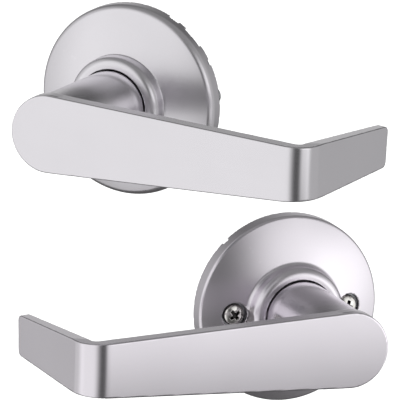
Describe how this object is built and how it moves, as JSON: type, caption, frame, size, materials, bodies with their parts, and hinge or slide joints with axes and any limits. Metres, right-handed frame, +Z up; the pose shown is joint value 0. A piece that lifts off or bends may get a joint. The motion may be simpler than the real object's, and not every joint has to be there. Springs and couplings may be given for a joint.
{
  "type": "lever handle lockset",
  "caption": "Passage lever lockset in satin chrome: round roses, flat tapering levers with return legs, sprung cassettes, square spindle and through-screws.",
  "frame": {"origin": "centre of the outside rose's mounting face, on the outside lever's spindle axis", "axes": "+Z up; +Y into the door along the outside spindle; the outside lever points along +X"},
  "size_m": [0.1422, 0.1672, 0.1584],
  "materials": {
    "satin_lever": "satin chrome, brushed along the lever",
    "satin_rose": "satin chrome, brushed round the rose",
    "zinc_casting": "bare zinc die casting, dull grey",
    "plated_steel": "zinc plated steel",
    "turned_steel": "turned and milled steel",
    "black_steel": "black oxide steel",
    "spring_wire": "drawn spring wire",
    "cam_brass": "sintered bronze, dull",
    "nickel_screw": "bright nickel plate",
    "black_nylon": "moulded black nylon"
  },
  "bodies": {
    "fixed_halves": {"outside_rose": "satin_rose", "outside_mounting_plate": "zinc_casting", "outside_bearing_bush": "black_nylon", "outside_thrust_washer": "plated_steel", "outside_return_springs": "spring_wire", "outside_cassette": "zinc_casting", "outside_cassette_rivets": "plated_steel", "threaded_posts": "plated_steel", "inside_rose": "satin_rose", "inside_mounting_plate": "zinc_casting", "inside_bearing_bush": "black_nylon", "inside_thrust_washer": "plated_steel", "inside_return_springs": "spring_wire", "inside_cassette": "zinc_casting", "inside_cassette_rivets": "plated_steel", "fixing_screws": "nickel_screw"},
    "outside_turning": {"outside_lever": "satin_lever", "outside_drive_tube": "turned_steel", "outside_set_screw": "black_steel", "outside_retaining_ring": "black_steel", "outside_cam": "cam_brass", "spindle": "turned_steel", "spindle_pin": "black_steel"},
    "outside_sliding": {"outside_follower": "plated_steel"},
    "inside_turning": {"inside_lever": "satin_lever", "inside_drive_tube": "turned_steel", "inside_set_screw": "black_steel", "inside_retaining_ring": "black_steel", "inside_cam": "cam_brass"},
    "inside_sliding": {"inside_follower": "plated_steel"}
  },
  "joints": [
    {"name": "outside_lever_turn", "type": "hinge", "parent": "fixed_halves", "child": "outside_turning", "pos_m": [0, 0, 0], "axis": [0, 1, 0], "range_deg": [0, 50], "stiffness_Nm_per_rad": 0.8, "springref_deg": -34.38},
    {"name": "outside_follower_lift", "type": "slide", "parent": "fixed_halves", "child": "outside_sliding", "axis": [0, 0, 1], "range_m": [0, 0.004], "deforming": ["outside_return_springs"]},
    {"name": "inside_lever_turn", "type": "hinge", "parent": "fixed_halves", "child": "inside_turning", "pos_m": [0.026, 0.069, -0.089], "axis": [0.7771, -0.6293, 0], "range_deg": [0, 50], "stiffness_Nm_per_rad": 0.8, "springref_deg": -34.38},
    {"name": "inside_follower_lift", "type": "slide", "parent": "fixed_halves", "child": "inside_sliding", "axis": [0, 0, 1], "range_m": [0, 0.004], "deforming": ["inside_return_springs"]}
  ],
  "couplings": [
    {"joint": "outside_follower_lift", "follows": "outside_lever_turn", "m_per_rad": 0.0045},
    {"joint": "inside_follower_lift", "follows": "inside_lever_turn", "m_per_rad": 0.0045}
  ]
}
